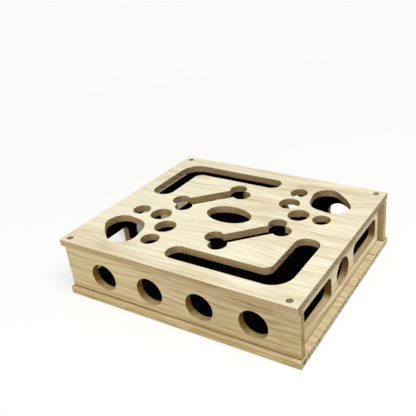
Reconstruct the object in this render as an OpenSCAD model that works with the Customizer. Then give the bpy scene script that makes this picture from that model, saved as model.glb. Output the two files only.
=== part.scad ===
// A cat play box: a flat wooden box with a screwed lid, built as separate boards, screws and dowels.
// Millimetres. +Z is up, the front faces -Y, and the origin is at the middle of the base's underside.

/* [Base and lid boards] */
// Length of the base and of the lid, left to right
board_l = 300; // [285:1:320]
// Depth of the base and of the lid, front to back
board_d = 250; // [243:1:262]
// Thickness of the base
base_t = 9; // [6:0.5:14]
// Thickness of the lid
lid_t = 8.5; // [6:0.5:12]
// How far the lid sits to the right of the base's middle, negative is left
lid_shift_x = -3.2; // [-4:0.1:0]
// How far the lid sits behind the base's middle
lid_shift_y = 2.9; // [0:0.1:4]
// Radius of the sanded edges on every board
edge_r = 0.6; // [0.5:0.1:2]

/* [Wall boards] */
// Height of the four walls
wall_h = 53.5; // [48:0.5:70]
// Thickness of the four walls
wall_t = 8.5; // [7:0.5:10]
// Ledge of the base beyond each end of the front and back walls
end_ledge = 1.5; // [0.5:0.5:4]
// Ledge of the base in front of the front wall and behind the back wall
long_ledge = 4; // [2:0.5:6]
// How far the left and right walls stand in from the ends of the front and back walls
side_inset = 7.5; // [5:0.5:10]

/* [Holes in the walls] */
// Height of every wall hole's middle above the base board
hole_up = 25; // [22:1:27]
// Diameter of the round wall holes
round_hole_d = 33.8; // [28:0.1:38]
// Distance from the end of a long wall to the middle of its last round hole, before the holes' own shift
round_hole_end = 52; // [48:0.1:58]
// Wood between a side wall's middle hole and each of its slots
slot_bridge = 14.1; // [10:0.1:18]
// Wood between a slot and the end of its side wall
slot_margin = 9; // [8:0.1:14]
// Height of the slots in the side walls
slot_h = 28; // [22:1:32]
// Radius of the slots' corners
slot_r = 8; // [4:0.5:10]
// How far the right wall's hole and both side walls' slots sit behind the box's middle, negative is in front
side_holes_shift = -1.5; // [-1.5:0.1:1.5]
// How far the left wall's hole sits behind the middle of the box, negative is in front
left_hole_shift = -5.5; // [-8:0.1:0]
// How far the front wall's holes sit to the right of its middle
front_holes_shift = 0.3; // [-1:0.1:1]
// How far the back wall's holes sit to the right of its middle, negative is left
back_holes_shift = -6.8; // [-8:0.1:0]

/* [Lid pattern] */
// How far the cut-out pattern sits to the right of the lid's middle, negative is left
pattern_x = -2.4; // [-3:0.1:0]
// How far the cut-out pattern sits behind the lid's middle, negative is in front
pattern_y = -0.5; // [-2:0.1:1]
// Half length of the middle oval
oval_a = 29.6; // [24:0.1:32]
// Half width of the middle oval
oval_b = 18.1; // [14:0.1:19]
// Turn of the middle oval, in degrees
oval_turn = -2.7; // [-5:0.1:0]

/* [Paw cut-outs] */
// Distance from the lid's left edge to a paw pad's middle, before the pattern's own shift
paw_in_x = 59.3; // [58:0.1:61]
// Distance from the lid's front edge to a paw pad's middle, before the pattern's own shift
paw_in_y = 56.5; // [55:0.1:58]
// Turn of a paw's axis from the box's length, in degrees
paw_turn = 46.5; // [44:0.1:48]
// Radius of the pad's two lobes
pad_lobe_r = 17.6; // [15:0.1:18]
// Distance from the pad's axis to each lobe's middle
pad_lobe_offset = 14.4; // [13:0.1:15]
// Distance of the lobes behind the pad's middle
pad_lobe_back = 11; // [9:0.1:11.5]
// Radius of the pad's crown
pad_crown_r = 22.7; // [21:0.1:23]
// Distance of the crown's middle behind the pad's middle
pad_crown_back = 7.3; // [6:0.1:9]
// Radius of the two outer toes
toe_outer_r = 10.8; // [8:0.1:11.5]
// Distance of the outer toes ahead of the pad's middle
toe_outer_ahead = 16.9; // [15:0.1:18]
// Distance from the paw's axis to each outer toe's middle
toe_outer_offset = 37; // [36:0.1:38]
// Radius of the two inner toes
toe_inner_r = 12.9; // [10:0.1:13.2]
// Distance of the inner toes ahead of the pad's middle
toe_inner_ahead = 37.2; // [36:0.1:38]
// Distance from the paw's axis to each inner toe's middle
toe_inner_offset = 15.8; // [14.5:0.1:16.5]

/* [Bone cut-outs] */
// Bone's middle to the right of the pattern's middle
bone_x = 43.8; // [43:0.1:45]
// Bone's middle in front of the pattern's middle
bone_y = 29; // [28:0.1:30]
// Turn of the bone, in degrees
bone_turn = 45; // [42:1:47]
// Distance between the knuckles of the bone's two ends
bone_l = 73.6; // [60:0.1:76]
// Width of the bone's shank
bone_w = 18.6; // [10:0.1:19]
// Radius of the four knuckles
knuckle_r = 10.9; // [9.5:0.1:11.2]
// Distance of each knuckle's middle from the bone's axis
knuckle_offset = 8.8; // [8:0.1:9.2]

/* [Corner slot cut-outs] */
// Wood between the long leg and the lid's front edge, before the pattern's own shift
ell_margin_y = 20.7; // [19:0.1:22]
// Width of the long leg
ell_long_w = 24.1; // [18:0.1:25]
// End of the long leg to the left of the pattern's middle
ell_left = 20.4; // [16:0.1:22]
// Wood between the short leg and the lid's right edge, before the pattern's own shift
ell_margin_x = 21.6; // [20:0.1:24]
// Width of the short leg
ell_short_w = 29.2; // [22:0.1:30]
// End of the short leg in front of the pattern's middle
ell_back = 11.3; // [10:0.1:20]
// Radius of the outer bend
ell_outer_r = 24; // [18:0.1:24]
// Radius of the inner bend
ell_inner_r = 10; // [4:0.1:12]
// Corner radius at the short leg's end
ell_end_r = 13; // [8:0.1:14]

/* [Screws] */
// Diameter of a screw's head
screw_head_d = 7; // [6:0.1:8]
// Diameter of a screw's shank
screw_d = 3; // [2.5:0.1:3.2]
// Length of a screw
screw_l = 25; // [20:1:28]
// Height of a screw's tapered tip
screw_tip_h = 4; // [3:0.5:6]
// Length of each arm of the cross recess
recess_l = 3.6; // [3:0.1:4]
// Width of each arm of the cross recess
recess_w = 0.9; // [0.6:0.1:1.2]
// Depth of the cross recess
recess_depth = 1.2; // [0.8:0.1:1.5]
// Gap between a screw's head and the wall of its sunk mouth
mouth_gap = 0.2; // [0.1:0.05:0.5]
// Depth of a screw's head below the board's face
head_sunk = 1; // [0.5:0.1:1.5]
// Distance from the ends of the front and back walls to the lid's screws
lid_screw_end = 9.1; // [9:0.1:12]
// How far the lid's screws sit to the right of the walls' middle, negative is left
lid_screw_shift_x = -4.3; // [-5:0.1:0]
// How far the lid's screws sit behind the middle of the walls' thickness
lid_screw_shift_y = 2.2; // [0:0.1:2.2]
// Distance from the ends of the front and back walls to the base's screws
base_screw_end = 23.5; // [18:0.5:26]

/* [Dowels] */
// Diameter of a dowel
dowel_d = 4; // [3:0.5:5]
// Length of a dowel
dowel_l = 10; // [8:0.5:10.5]
// Depth of a dowel in the front or back wall
dowel_in_long = 4.5; // [4:0.5:6]
// Height of the lower dowels above the base board
dowel_low = 5.5; // [5:0.5:7]
// Distance of the upper dowels below the lid
dowel_high = 25; // [23:0.5:28]

/* [Fits] */
// Clearance round a screw in its clearance hole
screw_clear = 0.2; // [0.1:0.05:0.4]
// Clearance round a screw in its pilot hole
pilot_clear = 0.05; // [0.02:0.01:0.1]
// Clearance round a dowel in its hole
dowel_clear = 0.05; // [0.02:0.01:0.1]
// Room left below a screw's tip
tip_room = 1; // [0.5:0.5:2]

/* [Hidden] */
$fn = 64;
// How far a cutting shape runs past the face it cuts
over = 1;
lid_z = base_t + wall_h;
top_z = lid_z + lid_t;
long_wall_l = board_l - 2 * end_ledge;
walls_d = board_d - 2 * long_ledge;
long_wall_y = (walls_d - wall_t) / 2;
side_wall_l = walls_d - 2 * wall_t;
side_wall_x = long_wall_l / 2 - side_inset - wall_t / 2;
hole_z = base_t + hole_up;
round_hole_pitch = (long_wall_l - 2 * round_hole_end) / 3;
slot_near = round_hole_d / 2 + slot_bridge;
slot_far = side_wall_l / 2 - slot_margin;
paw_x = board_l / 2 - paw_in_x;
paw_y = board_d / 2 - paw_in_y;
ell_front = board_d / 2 - ell_margin_y;
ell_right = board_l / 2 - ell_margin_x;
screw_head_h = (screw_head_d - screw_d) / 2;
mouth_d = screw_head_d + 2 * mouth_gap;
lid_screws_dx = long_wall_l - 2 * lid_screw_end;
base_screws_dx = long_wall_l - 2 * base_screw_end;

module rounded_rect(w, h, r) {
    square([w - 2 * r, h], center = true);
    square([w, h - 2 * r], center = true);
    for (sx = [-1, 1])
        for (sy = [-1, 1])
            translate([sx * (w / 2 - r), sy * (h / 2 - r)])
                circle(r);
}

// A board with sanded edges, standing on z = 0.
module board(l, d, h) {
    translate([0, 0, h / 2])
        intersection() {
            linear_extrude(height = h, center = true)
                rounded_rect(l, d, edge_r);
            rotate([90, 0, 0])
                linear_extrude(height = d, center = true)
                    rounded_rect(l, h, edge_r);
            rotate([90, 0, 90])
                linear_extrude(height = l, center = true)
                    rounded_rect(d, h, edge_r);
        }
}

module at_lid_screws() {
    translate([lid_screw_shift_x, lid_screw_shift_y, 0])
        for (sx = [-1, 1])
            for (sy = [-1, 1])
                translate([sx * lid_screws_dx / 2, sy * long_wall_y, 0])
                    children();
}

module at_base_screws() {
    for (sx = [-1, 1])
        for (sy = [-1, 1])
            translate([sx * base_screws_dx / 2, sy * long_wall_y, 0])
                children();
}

// Each dowel's axis runs in from the bottom of its hole in the front or back wall.
module at_dowels() {
    for (sx = [-1, 1])
        for (sy = [-1, 1])
            for (z = [base_t + dowel_low, lid_z - dowel_high])
                translate([sx * side_wall_x, sy * (side_wall_l / 2 + dowel_in_long), z])
                    rotate([sy * 90, 0, 0])
                        children();
}

// A countersunk wood screw, head up at z = 0, point down.
module screw() {
    difference() {
        union() {
            translate([0, 0, -screw_head_h])
                cylinder(d1 = screw_d, d2 = screw_head_d, h = screw_head_h);
            translate([0, 0, -screw_l + screw_tip_h])
                cylinder(d = screw_d, h = screw_l - screw_tip_h - screw_head_h);
            translate([0, 0, -screw_l])
                cylinder(d1 = screw_d / 5, d2 = screw_d, h = screw_tip_h);
        }
        translate([-recess_l / 2, -recess_w / 2, -recess_depth])
            cube([recess_l, recess_w, recess_depth + over]);
        translate([-recess_w / 2, -recess_l / 2, -recess_depth])
            cube([recess_w, recess_l, recess_depth + over]);
    }
}

// The sunk mouth and the clearance hole of a screw, from a board's face at z = 0 down through the board.
module screw_mouth(board_t) {
    translate([0, 0, -head_sunk])
        cylinder(d = mouth_d, h = head_sunk + over);
    translate([0, 0, -head_sunk - screw_head_h])
        cylinder(d1 = screw_d + 2 * screw_clear, d2 = mouth_d, h = screw_head_h);
    translate([0, 0, -board_t - over])
        cylinder(d = screw_d + 2 * screw_clear, h = board_t + over);
}

// The pilot hole of a screw whose board is board_t thick, from the next board's face at z = 0 down.
module pilot(board_t) {
    depth = head_sunk + screw_l + tip_room - board_t;
    translate([0, 0, -depth])
        cylinder(d = screw_d + 2 * pilot_clear, h = depth + over);
}

function rim(middle, r, angle) = middle + r * [cos(angle), sin(angle)];

// The pad's outline runs round two lobes and a crown, along the straight lines that touch them.
module pad_shape() {
    lobe = [-pad_lobe_back, pad_lobe_offset];
    crown = [-pad_crown_back, 0];
    lean = atan2(crown[1] - lobe[1], crown[0] - lobe[0]);
    blend = acos((pad_lobe_r - pad_crown_r) / norm(crown - lobe));
    half = [
        rim(crown, pad_crown_r, lean + blend),
        rim(lobe, pad_lobe_r, lean + blend),
        rim(lobe, pad_lobe_r, lean - blend),
        rim(crown, pad_crown_r, lean - blend)
    ];
    polygon([
        for (side = [1, -1])
            for (i = [0 : 3])
                let (q = half[side > 0 ? i : 3 - i])
                    [q[0], side * q[1]]
    ]);
    translate(crown)
        circle(pad_crown_r);
    for (side = [-1, 1])
        translate([lobe[0], side * lobe[1]])
            circle(pad_lobe_r);
}

module paw_shape() {
    translate([-paw_x, -paw_y])
        rotate(paw_turn) {
            pad_shape();
            for (s = [-1, 1]) {
                translate([toe_outer_ahead, s * toe_outer_offset])
                    circle(toe_outer_r);
                translate([toe_inner_ahead, s * toe_inner_offset])
                    circle(toe_inner_r);
            }
        }
}

module bone_shape() {
    translate([bone_x, -bone_y])
        rotate(bone_turn) {
            square([bone_l, bone_w], center = true);
            for (sx = [-1, 1])
                for (sy = [-1, 1])
                    translate([sx * bone_l / 2, sy * knuckle_offset])
                        circle(knuckle_r);
        }
}

// The waste between a square corner at the origin and its round.
// The shape that keeps the round lies to the corner's upper left.
module corner_waste(r) {
    difference() {
        translate([-r, -over])
            square([r + over, r + over]);
        translate([-r, r])
            circle(r);
    }
}

// The corner slot: a long leg along the front, a round bend, and a short leg up the right side.
module ell_shape() {
    long_r = ell_long_w / 2;
    short_left = ell_right - ell_short_w;
    difference() {
        union() {
            translate([-ell_left + long_r, -ell_front])
                square([ell_right + ell_left - long_r, ell_long_w]);
            translate([short_left, -ell_front])
                square([ell_short_w, ell_front - ell_back - ell_end_r]);
            translate([short_left + ell_end_r, -ell_front])
                square([ell_short_w - 2 * ell_end_r, ell_front - ell_back]);
        }
        translate([ell_right, -ell_front])
            corner_waste(ell_outer_r);
    }
    translate([-ell_left + long_r, -ell_front + long_r])
        circle(long_r);
    for (x = [short_left + ell_end_r, ell_right - ell_end_r])
        translate([x, -ell_back - ell_end_r])
            circle(ell_end_r);
    translate([short_left, -ell_front + ell_long_w])
        corner_waste(ell_inner_r);
}

// Every cut-out of the lid. Each shape has a twin, turned half way round the pattern's middle.
module lid_pattern(h) {
    for (turn = [0, 180])
        rotate(turn) {
            linear_extrude(height = h)
                paw_shape();
            linear_extrude(height = h)
                bone_shape();
            linear_extrude(height = h)
                ell_shape();
        }
    rotate(oval_turn)
        scale([oval_a / oval_b, 1, 1])
            cylinder(r = oval_b, h = h);
}

module lid() {
    color([0.93, 0.87, 0.74])
        difference() {
            translate([lid_shift_x, lid_shift_y, lid_z])
                board(board_l, board_d, lid_t);
            translate([lid_shift_x + pattern_x, lid_shift_y + pattern_y, lid_z - over])
                lid_pattern(lid_t + 2 * over);
            at_lid_screws()
                translate([0, 0, top_z])
                    screw_mouth(lid_t);
        }
}

module base() {
    color([0.88, 0.8, 0.65])
        difference() {
            board(board_l, board_d, base_t);
            at_base_screws()
                rotate([180, 0, 0])
                    screw_mouth(base_t);
        }
}

// The front wall (side -1) or the back wall (side 1), with its holes moved to the right by holes_shift.
module long_wall(side, holes_shift) {
    difference() {
        translate([0, side * long_wall_y, base_t])
            board(long_wall_l, wall_t, wall_h);
        for (i = [-1.5, -0.5, 0.5, 1.5])
            translate([holes_shift + i * round_hole_pitch, side * long_wall_y, hole_z])
                rotate([90, 0, 0])
                    cylinder(d = round_hole_d, h = wall_t + 2 * over, center = true);
        at_lid_screws()
            translate([0, 0, lid_z])
                pilot(lid_t);
        at_base_screws()
            translate([0, 0, base_t])
                rotate([180, 0, 0])
                    pilot(base_t);
        at_dowels()
            cylinder(d = dowel_d + 2 * dowel_clear, h = dowel_l);
    }
}

module front_wall() {
    color([0.9, 0.83, 0.69])
        long_wall(-1, front_holes_shift);
}

module back_wall() {
    color([0.9, 0.83, 0.69])
        long_wall(1, back_holes_shift);
}

// The left wall (side -1) or the right wall (side 1), with its middle hole moved back by hole_shift.
// Each slot starts beside the hole and ends at the slots' own place near the wall's end.
module side_wall(side, hole_shift) {
    difference() {
        translate([side * side_wall_x, 0, base_t])
            board(wall_t, side_wall_l, wall_h);
        translate([side * side_wall_x, 0, hole_z])
            rotate([90, 0, 90])
                linear_extrude(height = wall_t + 2 * over, center = true) {
                    translate([hole_shift, 0])
                        circle(d = round_hole_d);
                    for (end = [-1, 1]) {
                        near = hole_shift + end * slot_near;
                        far = side_holes_shift + end * slot_far;
                        translate([(near + far) / 2, 0])
                            rounded_rect(abs(far - near), slot_h, slot_r);
                    }
                }
        at_dowels()
            cylinder(d = dowel_d + 2 * dowel_clear, h = dowel_l);
    }
}

module left_wall() {
    color([0.91, 0.84, 0.7])
        side_wall(-1, left_hole_shift);
}

module right_wall() {
    color([0.91, 0.84, 0.7])
        side_wall(1, side_holes_shift);
}

module lid_screws() {
    color([0.62, 0.58, 0.5])
        at_lid_screws()
            translate([0, 0, top_z - head_sunk])
                screw();
}

module base_screws() {
    color([0.62, 0.58, 0.5])
        at_base_screws()
            translate([0, 0, head_sunk])
                rotate([180, 0, 0])
                    screw();
}

module corner_dowels() {
    color([0.8, 0.68, 0.5])
        at_dowels()
            cylinder(d = dowel_d, h = dowel_l);
}

base();
front_wall();
back_wall();
left_wall();
right_wall();
lid();
lid_screws();
base_screws();
corner_dowels();
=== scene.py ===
import math
import bpy
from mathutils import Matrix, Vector


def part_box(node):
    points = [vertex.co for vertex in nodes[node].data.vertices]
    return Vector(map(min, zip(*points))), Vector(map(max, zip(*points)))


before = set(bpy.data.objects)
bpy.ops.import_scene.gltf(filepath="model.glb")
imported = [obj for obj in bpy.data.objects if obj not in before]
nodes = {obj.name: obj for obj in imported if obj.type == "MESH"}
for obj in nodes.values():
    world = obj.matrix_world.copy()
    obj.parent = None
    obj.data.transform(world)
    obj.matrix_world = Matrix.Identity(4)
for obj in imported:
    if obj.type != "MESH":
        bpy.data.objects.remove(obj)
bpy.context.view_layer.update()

scene = bpy.context.scene
scene.view_settings.view_transform = "Standard"

# Camera, solved from the box's own edges in the photograph, which is a crop.
CAMERA_AT = (0.34369, -0.49164, 0.40281)
CAMERA_TURN = (62.0420, 2.7763, 27.9472)
CAMERA_LENS = 50.296
CAMERA_SENSOR = 36
CAMERA_SHIFT = (-0.17399, -0.01409)
CAMERA_NEAR = 0.01
cam = bpy.data.cameras.new("camera")
cam.sensor_width = CAMERA_SENSOR
cam.lens = CAMERA_LENS
cam.shift_x, cam.shift_y = CAMERA_SHIFT
cam.clip_start = CAMERA_NEAR
camera = bpy.data.objects.new("camera", cam)
camera.location = CAMERA_AT
camera.rotation_euler = [math.radians(angle) for angle in CAMERA_TURN]
scene.collection.objects.link(camera)
scene.camera = camera

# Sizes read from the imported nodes.
lid_lo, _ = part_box("lid")
base_lo, base_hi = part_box("base")
front_lo, front_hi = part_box("front_wall")
back_lo, back_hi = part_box("back_wall")
left_lo, left_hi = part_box("left_wall")
right_lo, right_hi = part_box("right_wall")
WALLS = ((front_lo, front_hi), (back_lo, back_hi), (left_lo, left_hi), (right_lo, right_hi))
LONG_WALLS = ("front_wall", "back_wall")
THIN = 0.02              # a board lower than this lies flat
ON_PLANE = 0.0002        # a point nearer to a plane than this lies on it
HAIR = 0.00015           # reach of the painted shade inside past the inner faces
INSIDE = (
    (left_hi.x - HAIR, front_hi.y - HAIR, base_hi.z - HAIR),
    (right_lo.x + HAIR, back_lo.y + HAIR, lid_lo.z - HAIR),
)


class Tree:
    """Short calls for building a node tree, which is called t below."""

    def __init__(self, tree):
        self.tree = tree
        self.tree.nodes.clear()

    def node(self, kind, **fields):
        new = self.tree.nodes.new(kind)
        for field, value in fields.items():
            setattr(new, field, value)
        return new

    def put(self, socket, value):
        """Join an output to a socket, or set the socket to a plain value."""
        if isinstance(value, bpy.types.NodeSocket):
            self.tree.links.new(value, socket)
        elif value is not None:
            socket.default_value = value

    def math(self, op, a, b=None, clamp=False):
        new = self.node("ShaderNodeMath", operation=op, use_clamp=clamp)
        self.put(new.inputs[0], a)
        self.put(new.inputs[1], b)
        return new.outputs[0]

    def add(self, a, b, clamp=False):
        return self.math("ADD", a, b, clamp)

    def sub(self, a, b):
        return self.math("SUBTRACT", a, b)

    def mul(self, a, b):
        return self.math("MULTIPLY", a, b)

    def least(self, a, b):
        return self.math("MINIMUM", a, b)

    def most(self, a, b):
        return self.math("MAXIMUM", a, b)

    def unsigned(self, a):
        return self.math("ABSOLUTE", a)

    def between(self, value, low, high):
        """1 where the value lies between low and high."""
        return self.mul(self.math("GREATER_THAN", value, low), self.math("LESS_THAN", value, high))

    def length(self, vector):
        new = self.node("ShaderNodeVectorMath", operation="LENGTH")
        self.put(new.inputs[0], vector)
        return new.outputs["Value"]

    def scaled(self, vector, factors):
        new = self.node("ShaderNodeVectorMath", operation="MULTIPLY")
        self.put(new.inputs[0], vector)
        self.put(new.inputs[1], factors)
        return new.outputs["Vector"]

    def split(self, vector):
        new = self.node("ShaderNodeSeparateXYZ")
        self.put(new.inputs[0], vector)
        return new.outputs[:]

    def join(self, x, y, z):
        new = self.node("ShaderNodeCombineXYZ")
        for socket, value in zip(new.inputs, (x, y, z)):
            self.put(socket, value)
        return new.outputs[0]

    def noise(self, vector, scale, detail, rough=0.5):
        new = self.node("ShaderNodeTexNoise")
        self.put(new.inputs["Vector"], vector)
        new.inputs["Scale"].default_value = scale
        new.inputs["Detail"].default_value = detail
        new.inputs["Roughness"].default_value = rough
        return new.outputs["Fac"]

    def span(self, value, low, high, a=0.0, b=1.0, smooth=False):
        """The value carried from the range low to high into a to b, and held at its ends."""
        new = self.node("ShaderNodeMapRange", clamp=True,
                        interpolation_type="SMOOTHSTEP" if smooth else "LINEAR")
        for socket, number in zip(new.inputs, (value, low, high, a, b)):
            self.put(socket, number)
        return new.outputs[0]

    def mix(self, share, a, b):
        new = self.node("ShaderNodeMix", data_type="RGBA", blend_type="MIX")
        self.put(new.inputs["Factor"], share)
        self.put(new.inputs["A"], (*a, 1) if isinstance(a, tuple) else a)
        self.put(new.inputs["B"], (*b, 1) if isinstance(b, tuple) else b)
        return new.outputs["Result"]

    def ramp(self, share, stops):
        new = self.node("ShaderNodeValToRGB")
        self.put(new.inputs[0], share)
        elements = new.color_ramp.elements
        while len(elements) < len(stops):
            elements.new(0.5)
        for element, (position, grey) in zip(elements, stops):
            element.position = position
            element.color = (grey, grey, grey, 1)
        return new.outputs[0]


def lin(r, g, b):
    """A colour written in 0 to 255, as the shader takes it."""
    return tuple((c / 255 / 12.92) if c < 10.4 else ((c / 255 + 0.055) / 1.055) ** 2.4 for c in (r, g, b))


def pair(light, dark):
    return lin(*light), lin(*dark)


def new_material(name):
    mat = bpy.data.materials.new(name)
    mat.use_nodes = True
    return mat, Tree(mat.node_tree)


def surface(t, colour, rough):
    """A Principled shader joined to the material's output."""
    shader = t.node("ShaderNodeBsdfPrincipled")
    t.put(shader.inputs["Base Color"], colour)
    t.put(shader.inputs["Roughness"], rough)
    out = t.node("ShaderNodeOutputMaterial")
    t.put(out.inputs["Surface"], shader.outputs[0])
    return shader


# A board's own coordinates.
SHADE = 0.20             # a board's tone before its grain, from 0 light to 1 dark
SWAY = 0.024             # how far the grain wanders from straight
SWAY_SCALE = (8.0, 12.0)


class Board:
    """A board's coordinates in its shader: a runs with the grain, b across it, z up."""

    def __init__(self, t, node, along, offset):
        self.t, self.node = t, node
        self.lo, self.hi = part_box(node)
        coordinates = t.node("ShaderNodeTexCoord")
        self.where = coordinates.outputs["Object"]
        self.x, self.y, self.z = t.split(self.where)
        turn_x, turn_y, turn_z = [t.unsigned(part) for part in t.split(coordinates.outputs["Normal"])]
        self.flat = self.hi.z - self.lo.z < THIN
        cross = along == "Y"
        a, b = (self.y, self.x) if cross else (self.x, self.y)
        self.a = t.add(a, offset)
        spot = t.join(t.mul(self.a, SWAY_SCALE[0]), t.mul(b, SWAY_SCALE[1]), 0.0)
        self.b = t.add(b, t.mul(t.sub(t.noise(spot, 1, 1), 0.5), SWAY))
        self.first, self.last = [(v.y if cross else v.x) + offset for v in (self.lo, self.hi)]
        self.end = turn_y if cross else turn_x
        across = turn_x if cross else turn_y
        self.out, self.edge = (turn_z, across) if self.flat else (across, turn_z)
        self.thin = "z" if self.flat else ("x" if cross else "y")

    def axes(self):
        return zip("xyz", (self.x, self.y, self.z), self.lo, self.hi)

    def grain(self, with_it, across, detail, rough):
        """Noise drawn out along the grain."""
        t = self.t
        spot = t.join(t.mul(self.a, with_it), t.mul(self.b, across), t.mul(self.z, across))
        return t.noise(spot, 1, detail, rough)

    def bend(self, x, y, reach, push):
        """Let the grain bend round a spot."""
        t = self.t
        away = t.length(t.join(t.sub(self.x, x), t.sub(self.y, y), 0.0))
        fade = t.mul(t.math("POWER", t.math("DIVIDE", away, reach), 2.0), -1.0)
        self.b = t.add(self.b, t.mul(t.math("EXPONENT", fade), push))

    def lengthwise(self, first, last):
        """A tone that runs from first at the board's first end to last at its other end."""
        return self.t.span(self.a, self.first, self.last, first, last)

    def depthwise(self, drift):
        """A tone around 0 that is darker by drift at the board's back than at its front."""
        return self.t.span(self.y, self.lo.y, self.hi.y, -drift / 2, drift / 2)


# Growth rings, with stops of place within a ring and darkness there.
SLOW_WARP = (4.5, 13.0, 1.5, 0.5)                # a grain, as Board.grain takes it
QUICK_WARP = (18.0, 70.0, 2.0, 0.5)
QUICK_PUSH = 0.006                               # how far the quick warp moves a ring
FACE_RINGS = ((0.0, 0.45), (0.08, 0.05), (0.40, 0.0), (0.72, 0.30), (0.90, 1.0), (1.0, 0.45))
FACE_OWN = (0.30, 0.62, 0.10, 1.0)               # each ring's own strength on a face
FACE_OWN_SCALE = (5.0, 3.7)                      # with the grain, and from ring to ring
END_RINGS = ((0.0, 0.70), (0.15, 0.20), (0.50, 0.10), (0.78, 0.55), (0.93, 1.0), (1.0, 0.70))
END_OWN = (0.35, 0.60, 0.40, 1.0)                # a ring's strength from place to place on an end
END_OWN_SCALE = 70
END_WANDER = 4.5                                 # how many rings' widths a ring wanders on an end
END_WANDER_SCALE = 45
END_SHARE = 0.9
SPECK_SCALE = 520
SPECK_MIDDLE = 0.45
SPECK_SHARE = 1.4


def face_rings(board, heart, ring, warp):
    """Late wood of the growth rings round a heart line, 0 to 1."""
    t = board.t
    slow, quick = [t.sub(board.grain(*kind), 0.5) for kind in (SLOW_WARP, QUICK_WARP)]
    away = t.length(t.join(0.0, t.sub(board.b, heart[0]), t.sub(board.z, heart[1])))
    away = t.add(away, t.add(t.mul(slow, warp), t.mul(quick, QUICK_PUSH)))
    turn = t.math("DIVIDE", away, ring)
    late = t.ramp(t.math("FRACT", turn), FACE_RINGS)
    with_it, from_ring = FACE_OWN_SCALE
    spot = t.join(t.mul(board.a, with_it), t.mul(t.math("FLOOR", turn), from_ring), 0.0)
    return t.mul(late, t.span(t.noise(spot, 1, 1), *FACE_OWN))


def end_rings(board, width, lean):
    """The rings cut straight across on an end, 0 to 1."""
    t = board.t
    turn = t.add(t.mul(board.b, math.cos(lean) / width), t.mul(board.z, math.sin(lean) / width))
    turn = t.add(turn, t.mul(t.noise(board.where, END_WANDER_SCALE, 3), END_WANDER))
    own = t.span(t.noise(board.where, END_OWN_SCALE, 1), *END_OWN)
    arc = t.mul(t.ramp(t.math("FRACT", turn), END_RINGS), own)
    speck = t.sub(t.noise(board.where, SPECK_SCALE, 2), SPECK_MIDDLE)
    return t.add(t.mul(arc, END_SHARE), t.mul(speck, SPECK_SHARE), clamp=True)


# Walls of the cut-outs, and edges lightened by sanding wear and a painted highlight.
REVEAL_IN = 0.0012       # a cut-out's wall starts this far in from the board's own edge
REVEAL_TURN = (0.75, 0.45)                       # a face to a cut-out's wall, as the surface turns
EDGE_LIGHT_REACH = (0.0003, 0.0012)                    # distances from the edge, full and none
EDGE_LIGHT_CLOUD = (0.3, 0.6, 0.15, 0.5)               # the cloud's range, then the strength of the wear and painted highlight


def reveal_mask(board):
    """1 on the walls of the board's cut-outs, 0 on its outer faces."""
    t = board.t
    inner = 1.0
    for axis, value, low, high in board.axes():
        if axis != board.thin:
            inner = t.mul(inner, t.between(value, low + REVEAL_IN, high - REVEAL_IN))
    return t.mul(inner, t.span(board.out, *REVEAL_TURN))


def edge_wear_and_highlight(board, cloud):
    """Sanding wear and a painted highlight along the board's own edges, 0 to 1."""
    t = board.t
    near = [t.least(t.sub(value, low), t.sub(high, value)) for _, value, low, high in board.axes()]
    nearer, farther = t.least(near[0], near[1]), t.most(near[0], near[1])
    second = t.most(nearer, t.least(farther, near[2]))
    return t.mul(t.span(second, *EDGE_LIGHT_REACH, 1.0, 0.0, smooth=True), t.span(cloud, *EDGE_LIGHT_CLOUD))


# Painted shade in the joints, and painted warm shade beside them: reaches and strengths.
SEAM = 0.0010            # reach of the painted shade in a joint
TOUCH = 0.0001           # nearer than this the painted shade is at its full
BASE_REACH = 0.7 * SEAM
FOOT_REACH = (0.6 * SEAM, 1.8 * SEAM)
BASE_SEAM_SHADE = 0.6
LONG_FOOT_SHADE = 0.85
SIDE_FOOT_SHADE = 0.55
TOP_SEAM_SHADE = 0.45
LID_SHADE = 0.42         # painted shade on the side walls under the lid
LID_SHADE_REACH = 0.0165
CORNER_SHADE = (0.0002, 0.0011, 0.8, 0.0)        # distances from the corner, then strengths
CORNER_SOFT_SHADE = (0.0011, 0.0080, 0.35, 0.12)
LEDGE_TINT = 0.10
FOOT_WARM_SHADE = (0.001, 0.009, 0.30, 0.0)          # heights above the base, then strengths
INNER_PLANE_SHADE = 0.38
SIDE_WARM_SHADE = (-0.04, 0.03, 1.2, 0.0)            # from front to back on a side wall, then strengths


def outside_box(board, lo, hi):
    """Distance in plan from a board's outline, 0 within it."""
    t = board.t
    off_x = t.most(t.sub(lo.x, board.x), t.sub(board.x, hi.x))
    off_y = t.most(t.sub(lo.y, board.y), t.sub(board.y, hi.y))
    return t.most(t.most(off_x, off_y), 0.0)


def inner_plane(board):
    """1 on the plane of a long wall's inner face."""
    t = board.t
    inner = front_hi.y if board.node == "front_wall" else back_lo.y
    return t.math("LESS_THAN", t.unsigned(t.sub(board.y, inner)), ON_PLANE)


def base_seam_shade(board):
    """Painted shade on the base round the walls' feet, 0 to 1."""
    t = board.t
    near = outside_box(board, *WALLS[0])
    for wall in WALLS[1:]:
        near = t.least(near, outside_box(board, *wall))
    top = t.math("GREATER_THAN", board.z, base_hi.z - SEAM)
    return t.mul(t.span(near, TOUCH, BASE_REACH, BASE_SEAM_SHADE, 0.0), top)


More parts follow.
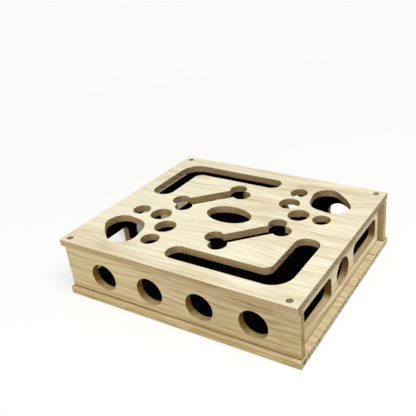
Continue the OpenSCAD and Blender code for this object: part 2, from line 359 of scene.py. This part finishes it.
def wall_seam_shade(board):
    """Painted shade at a wall's foot, under the lid and in the inner corners, 0 to 1."""
    t = board.t
    long = board.node in LONG_WALLS
    strength = LONG_FOOT_SHADE if long else SIDE_FOOT_SHADE
    start, end = [base_hi.z + height for height in FOOT_REACH]
    foot = t.span(board.z, start, end, strength, 0.0)
    shade_mix = t.most(foot, t.span(board.z, lid_lo.z - SEAM, lid_lo.z - TOUCH, 0.0, TOP_SEAM_SHADE))
    if not long:
        return t.most(shade_mix, t.span(board.z, lid_lo.z - LID_SHADE_REACH, lid_lo.z, 0.0, LID_SHADE))
    on_plane = inner_plane(board)
    for edge in (left_lo.x, right_hi.x):
        away = t.unsigned(t.sub(board.x, edge))
        for shade_reach in (CORNER_SHADE, CORNER_SOFT_SHADE):
            shade_mix = t.most(shade_mix, t.mul(on_plane, t.span(away, *shade_reach)))
    return shade_mix


def painted_seam_shade(board):
    """Painted shade in the joints, 0 to 1."""
    if board.node == "lid":
        return 0.0
    return base_seam_shade(board) if board.node == "base" else wall_seam_shade(board)


def painted_warm_shade(board):
    """Painted warm shade and bounce from the base beside a joint, 0 to 1; on the base, a warmer, darker
    tint of the ledge in front of the front wall.
    """
    t = board.t
    if board.node == "lid":
        return 0.0
    if board.node == "base":
        return t.mul(t.mul(t.math("LESS_THAN", board.y, front_lo.y), board.out), LEDGE_TINT)
    start, end, full, none = FOOT_WARM_SHADE
    foot = t.span(board.z, base_hi.z + start, base_hi.z + end, full, none)
    if board.node in LONG_WALLS:
        return t.most(foot, t.mul(inner_plane(board), INNER_PLANE_SHADE))
    return t.mul(foot, t.span(board.y, *SIDE_WARM_SHADE))


def within(board, lo, hi):
    """1 in the box from lo to hi."""
    t, inside = board.t, 1.0
    for value, low, high in zip((board.x, board.y, board.z), lo, hi):
        inside = t.mul(inside, t.between(value, low, high))
    return inside


# Grain of the pine: scale with it, scale across it, detail and roughness of the noise.
FIBRE = (24.0, 700.0, 3.0, 0.65)
STREAK = (13.0, 330.0, 2.0, 0.5)
BAND = (8.0, 120.0, 2.0, 0.5)
CLOUD = (8.0, 22.0, 2.0, 0.5)
LATE_SHARE, FIBRE_SHARE, STREAK_SHARE, BAND_SHARE, CLOUD_SHARE = 0.62, 1.2, 1.1, 0.9, 0.6

# Saw marks on the walls of the cut-outs.
CHATTER_FLAT = (420.0, 420.0, 90.0)
CHATTER_WALL = (300.0, 300.0, 300.0)
CHATTER_MIDDLE = 0.3
CHATTER_SHARE = 0.8
CUT_GRAIN_SHARE = 0.6

# How far a surface has to turn for its look to give way to the next one.
EDGE_TURN = (0.55, 0.85)                         # a face to a long edge or to an end
CUT_TURN = (0.35, 0.90)                          # a cut-out's wall along the grain to one across it

# Surface of the wood and of the near-black painted shade inside.
FOOT_HEIGHT = (0.006, 0.012)                     # reach of the painted shade at a wall's foot, above the base
ROUGH = (0.60, 0.48)                             # light wood, dark wood
INSIDE_SHADE_ROUGH = 0.4                                  # the painted shade inside is rougher by this
GLOSS = 0.35
INSIDE_SHADE_GLOSS = 0.04
BUMP_STRENGTH = 0.6
FIBRE_HEIGHT = 0.00008
LATE_HEIGHT = -0.00004
# the box's inside is painted near black with this colour: painted shade
INSIDE_SHADE = ((0.0007, 0.0009, 0.0008), (0.0004, 0.0005, 0.0005))
# colour of the painted shade in the joints
SEAM_SHADE = (0.105, 0.058, 0.020)
WARM_SHADE = (0.49, 0.26, 0.045)                      # colour of the painted warm shade and bounce, and of the ledge's tint


def wood(name, node, along, colours, heart, ring, stripes, offset, warp=0.020, lift=1.0, drift=0.0,
         cut_drift=None, deep=(0.0, 0.0, 0.0), foot=(0.0, 0.0), inside=True, swirl=None):
    """Sanded pine.

    colours: (light, dark) of the face, the long edges, the ends, and the cut-outs' walls along and across
    the grain. heart: where the heart line runs, across and up. ring: width of a growth ring. stripes:
    (width, turn) of the rings on the ends. offset: start of the board's own stretch of grain. warp: how far
    the rings wander on the faces. lift: strength of the grain. drift: how much darker the wood is at its
    right or back end. cut_drift: the same for the cut-outs' walls, where they differ. deep: how much darker
    the board's faces, its ends and its cut-outs' walls are at the back than at the front. foot: painted
    shade, how much darker the lowest centimetre of a wall is at its first and its last end. inside: whether
    the box's inside is painted near black on it, as painted shade. swirl: (x, y, reach, push) of a spot
    that the grain bends round."""
    face, side, ends, cut, cut_end = colours
    mat, t = new_material(name)
    board = Board(t, node, along, offset)
    if swirl:
        board.bend(*swirl)

    late = face_rings(board, heart, ring, warp)
    fibre, streak, band, cloud = [board.grain(*kind) for kind in (FIBRE, STREAK, BAND, CLOUD)]
    grain = t.mul(late, LATE_SHARE * lift)
    for part, share in ((fibre, FIBRE_SHARE), (streak, STREAK_SHARE * lift), (band, BAND_SHARE * lift),
                        (cloud, CLOUD_SHARE)):
        grain = t.add(grain, t.mul(t.sub(part, 0.5), share))

    face_deep, end_deep, cut_deep = [board.depthwise(amount) for amount in deep]
    # Painted shade at a wall's foot, set along the board by foot.
    start, stop = [base_hi.z + height for height in FOOT_HEIGHT]
    low = t.mul(t.span(board.z, start, stop, 1.0, 0.0, smooth=True), board.lengthwise(*foot))
    tone = t.add(grain, board.lengthwise(SHADE - drift / 2, SHADE + drift / 2))
    tone = t.add(t.add(tone, face_deep), low, clamp=True)
    ring_tone = t.add(end_rings(board, *stripes), end_deep, clamp=True)
    cut_tone = tone
    if cut_drift is not None:
        cut_tone = t.add(grain, board.lengthwise(SHADE - cut_drift / 2, SHADE + cut_drift / 2))
    cut_tone = t.mul(t.add(cut_tone, cut_deep), CUT_GRAIN_SHARE)
    chatter = t.noise(t.scaled(board.where, CHATTER_FLAT if board.flat else CHATTER_WALL), 1, 2)
    cut_tone = t.add(cut_tone, t.mul(t.sub(chatter, CHATTER_MIDDLE), CHATTER_SHARE), clamp=True)

    colour = t.mix(tone, *face)
    colour = t.mix(t.span(board.edge, *EDGE_TURN), colour, t.mix(tone, *side))
    colour = t.mix(t.span(board.end, *EDGE_TURN), colour, t.mix(ring_tone, *ends))
    reveal = t.mix(t.span(board.end, *CUT_TURN), t.mix(cut_tone, *cut), t.mix(ring_tone, *cut_end))
    colour = t.mix(reveal_mask(board), colour, reveal)
    # Edges lightened: sanding wear with a painted highlight.
    colour = t.mix(edge_wear_and_highlight(board, cloud), colour, face[0])
    # Painted warm shade and bounce beside the joints.
    colour = t.mix(painted_warm_shade(board), colour, WARM_SHADE)
    # Painted shade in the joints.
    colour = t.mix(painted_seam_shade(board), colour, SEAM_SHADE)
    # The box's inside painted near black: painted shade.
    dark = within(board, *INSIDE) if inside else 0.0
    colour = t.mix(dark, colour, t.mix(tone, *INSIDE_SHADE))
    rough = t.add(t.span(tone, 0.0, 1.0, *ROUGH), t.mul(dark, INSIDE_SHADE_ROUGH), clamp=True)

    bump = t.node("ShaderNodeBump")
    bump.inputs["Strength"].default_value = BUMP_STRENGTH
    bump.inputs["Distance"].default_value = 1.0
    t.put(bump.inputs["Height"], t.add(t.mul(fibre, FIBRE_HEIGHT), t.mul(late, LATE_HEIGHT)))
    shader = surface(t, colour, rough)
    shader.inputs["Specular IOR Level"].default_value = INSIDE_SHADE_GLOSS if inside else GLOSS
    t.put(shader.inputs["Normal"], bump.outputs[0])
    return mat


# Screws and dowels.
SCREW_HEAD = 0.0035      # radius of a screw's head
RECESS_EDGE = (0.0010, 0.0014)                   # radii between which the painted shade of the recess ends
RIM_EDGE = (0.0021, 0.0026)                      # radii between which the painted shade of the rim begins
STEEL_SPECK_SCALE = 1400
STEEL_SPECK = (0.3, 0.7)
STEEL_ROUGH = (0.35, 0.55)
STEEL_METAL = 0.35
STEEL_LIGHT, STEEL_DARK = lin(218, 206, 178), lin(172, 156, 122)
RECESS_SHADE = lin(44, 30, 14)
BEECH_LIGHT, BEECH_DARK = lin(222, 186, 140), lin(180, 138, 92)
BEECH_GRAIN = (1500.0, 90.0, 1500.0)
BEECH_ROUGH = 0.6


def steel(name, node):
    """Dull plated steel, with painted shade in the driving recess and round the head's rim."""
    mat, t = new_material(name)
    where = t.node("ShaderNodeTexCoord").outputs["Object"]
    x, y, _ = t.split(where)
    lo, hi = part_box(node)
    gap = []
    for value, low, high in ((x, lo.x, hi.x), (y, lo.y, hi.y)):
        off = t.unsigned(t.sub(value, (low + high) / 2))
        gap.append(t.sub(off, (high - low) / 2 - SCREW_HEAD))
    away = t.length(t.join(*gap, 0.0))
    speck = t.noise(where, STEEL_SPECK_SCALE, 3)
    bright = t.mul(t.span(away, *RECESS_EDGE), t.span(away, *RIM_EDGE, 1.0, 0.0))
    colour = t.mix(t.span(speck, *STEEL_SPECK), STEEL_LIGHT, STEEL_DARK)
    colour = t.mix(bright, RECESS_SHADE, colour)
    shader = surface(t, colour, t.span(speck, *STEEL_SPECK, *STEEL_ROUGH))
    shader.inputs["Metallic"].default_value = STEEL_METAL
    return mat


def beech(name):
    """Plain beech of the dowels."""
    mat, t = new_material(name)
    where = t.node("ShaderNodeTexCoord").outputs["Object"]
    grain = t.noise(t.scaled(where, BEECH_GRAIN), 1, 2)
    surface(t, t.mix(grain, BEECH_LIGHT, BEECH_DARK), BEECH_ROUGH)
    return mat


# The lid's long edges and the cut-outs' walls are coloured darker than their wood: their own grain, with
# painted shade added.
LID = (
    pair((249, 242, 214), (205, 180, 131)),         # face
    pair((196, 168, 121), (140, 110, 70)),          # long edges
    pair((168, 146, 106), (90, 70, 40)),            # ends
    pair((203, 175, 126), (148, 120, 77)),          # cut-outs' walls along the grain
    pair((165, 140, 99), (90, 70, 43)),             # cut-outs' walls across the grain
)
BASE = (
    pair((225, 208, 170), (176, 144, 93)),          # face
    pair((221, 197, 144), (152, 120, 72)),          # long edges
    pair((206, 192, 159), (120, 99, 65)),           # ends
    pair((200, 177, 133), (146, 122, 82)),          # cut-outs' walls along the grain
    pair((176, 150, 106), (96, 76, 46)),            # cut-outs' walls across the grain
)
LONG_WALL = (
    pair((226, 207, 162), (153, 124, 78)),          # face
    pair((226, 207, 162), (153, 124, 78)),          # long edges
    pair((182, 159, 111), (99, 74, 40)),            # ends
    pair((226, 200, 145), (164, 134, 84)),          # cut-outs' walls along the grain
    pair((158, 121, 64), (85, 59, 26)),             # cut-outs' walls across the grain
)
SIDE_WALL = (
    pair((239, 228, 194), (182, 155, 106)),         # face
    pair((239, 228, 194), (182, 155, 106)),         # long edges
    pair((190, 166, 122), (104, 78, 44)),           # ends
    pair((221, 199, 153), (167, 140, 104)),         # cut-outs' walls along the grain
    pair((136, 96, 50), (72, 45, 19)),              # cut-outs' walls across the grain
)
BACK_WALL = (*LONG_WALL[:2], pair((214, 198, 164), (124, 100, 64)), *LONG_WALL[3:])
LEFT_WALL = (*SIDE_WALL[:4], pair((196, 168, 118), (138, 110, 68)))

LOOKS = {
    # The lid's deep makes its cut-outs' walls darker towards the back: painted shade.
    "lid": wood(
        "lid_pine", "lid", "X", LID, (-0.02, 0.60), 0.0155, (0.0046, 0.85), 0.23, warp=0.030, drift=0.2,
        cut_drift=0.0, deep=(0.2, 0.1, 1.1), swirl=(0.118, 0.078, 0.030, 0.016), inside=False),
    "base": wood(
        "base_pine", "base", "X", BASE, (-0.20, 0.05), 0.0105, (0.0056, 0.70), 1.32, warp=0.030,
        drift=-0.20, deep=(0.0, -0.34, 0.0)),
    "front_wall": wood(
        "front_pine", "front_wall", "X", LONG_WALL, (-0.21, 0.13), 0.0062, (0.0042, 1.2), 2.1,
        lift=0.75, drift=0.30, cut_drift=0.8),
    "back_wall": wood(
        "back_pine", "back_wall", "X", BACK_WALL, (0.21, 0.12), 0.0066, (0.0042, -1.2), 3.7, lift=0.8),
    "left_wall": wood(
        "left_pine", "left_wall", "Y", LEFT_WALL, (-0.24, -0.06), 0.0070, (0.0042, 1.2), 5.2),
    # On the right wall, cut_drift makes the cut-outs' walls lighter towards the front, painted light, and
    # foot makes the wall's foot darker at the front, painted shade.
    "right_wall": wood(
        "right_pine", "right_wall", "Y", SIDE_WALL, (0.24, -0.06), 0.0070, (0.0042, -1.2), 6.4,
        drift=-0.15, cut_drift=1.1, deep=(0.0, -0.7, 0.0), foot=(0.20, -0.30)),
    "lid_screws": steel("lid_screw_steel", "lid_screws"),
    "base_screws": steel("base_screw_steel", "base_screws"),
    "corner_dowels": beech("dowel_beech"),
}
for name, mat in LOOKS.items():
    for slot in nodes[name].material_slots:
        slot.material = mat

# Floor and world.
WHITE = lin(251, 251, 249)
FLOOR_SIZE = 8
FLOOR_DOWN = 0.0002      # the floor lies this far below the box
FLOOR_GREY = 0.80        # what the floor throws back on the box
SHOWN_GREY = 0.34        # the part of the floor seen that takes the box's shadow
SHOWN_GLOW = 0.70        # the part of it that doesn't
FAR = (0.40, 1.00)       # between these distances the floor goes over to plain white
WORLD_LIGHT = 0.42

# The shaded ground beside the box's rear left: its bounds away from the base, then along it.
LEE_GREY = 0.56
LEE_IN = (-0.03, 0.0)
LEE_OUT = (0.035, 0.090)
LEE_FRONT = (-0.030, 0.010)
LEE_BACK = (0.11, 0.17)
LEE_LEAN = 0.5           # how far back its front bound moves for each metre away


def light_path(t):
    """1 for rays that see the background, from the camera, a gloss or a glass."""
    paths = t.node("ShaderNodeLightPath")
    return t.most(paths.outputs["Is Camera Ray"],
                  t.most(paths.outputs["Is Glossy Ray"], paths.outputs["Is Transmission Ray"]))


def blend(t, share, a, b):
    mixed = t.node("ShaderNodeMixShader")
    for socket, value in zip(mixed.inputs, (share, a, b)):
        t.put(socket, value)
    return mixed.outputs[0]


def matt(t, grey):
    diffuse = t.node("ShaderNodeBsdfDiffuse")
    diffuse.inputs["Color"].default_value = (grey, grey, grey, 1)
    return diffuse.outputs[0]


def glow(t, strength):
    emission = t.node("ShaderNodeEmission")
    emission.inputs["Color"].default_value = (*WHITE, 1)
    emission.inputs["Strength"].default_value = strength
    return emission.outputs[0]


def background(t, colour, strength):
    sky = t.node("ShaderNodeBackground")
    sky.inputs["Color"].default_value = (*colour, 1)
    sky.inputs["Strength"].default_value = strength
    return sky.outputs[0]


def lee(t, x, y):
    """1 on the strip of ground that lies in the box's lee."""
    away = t.sub(base_lo.x, x)
    strip = t.span(away, *LEE_IN, smooth=True)
    strip = t.mul(strip, t.span(away, *LEE_OUT, 1.0, 0.0, smooth=True))
    strip = t.mul(strip, t.span(t.sub(y, t.mul(away, LEE_LEAN)), *LEE_FRONT, smooth=True))
    return t.mul(strip, t.span(y, *LEE_BACK, 1.0, 0.0, smooth=True))


def floor_white(name):
    """White where it is seen, with the box's shadow on it, and pale grey to the light."""
    mat, t = new_material(name)
    where = t.node("ShaderNodeTexCoord").outputs["Object"]
    x, y, _ = t.split(where)
    near = t.node("ShaderNodeAddShader")
    t.put(near.inputs[0], matt(t, SHOWN_GREY))
    t.put(near.inputs[1], glow(t, SHOWN_GLOW))
    plain = blend(t, t.span(t.length(where), *FAR), near.outputs[0], glow(t, 1.0))
    shown = blend(t, lee(t, x, y), plain, matt(t, LEE_GREY))
    out = t.node("ShaderNodeOutputMaterial")
    t.put(out.inputs["Surface"], blend(t, light_path(t), matt(t, FLOOR_GREY), shown))
    return mat


bpy.ops.mesh.primitive_plane_add(size=FLOOR_SIZE, location=(0, 0, -FLOOR_DOWN))
floor = bpy.context.object
floor.name = "floor"
floor.data.materials.append(floor_white("floor_white"))

world = bpy.data.worlds.new("world")
scene.world = world
world.use_nodes = True
t = Tree(world.node_tree)
soft = background(t, (1.0, 1.0, 1.0), WORLD_LIGHT)
seen = background(t, WHITE, 1.0)
out = t.node("ShaderNodeOutputWorld")
t.put(out.inputs["Surface"], blend(t, light_path(t), soft, seen))


LAMP_AIM = Vector((0, 0, 0.04))


def lamp(name, at, size, power):
    """A round soft lamp that shines on the box."""
    light = bpy.data.lights.new(name, "AREA")
    light.shape = "DISK"
    light.size = size
    light.energy = power
    holder = bpy.data.objects.new(name, light)
    holder.location = at
    holder.rotation_euler = (LAMP_AIM - Vector(at)).to_track_quat("-Z", "Y").to_euler()
    scene.collection.objects.link(holder)


lamp("key", (0.75, -0.25, 1.60), 0.9, 17)
lamp("right_side", (1.2, 0.5, 0.8), 1.0, 1.8)
lamp("front_fill", (-0.5, -1.8, 0.7), 1.2, 8)
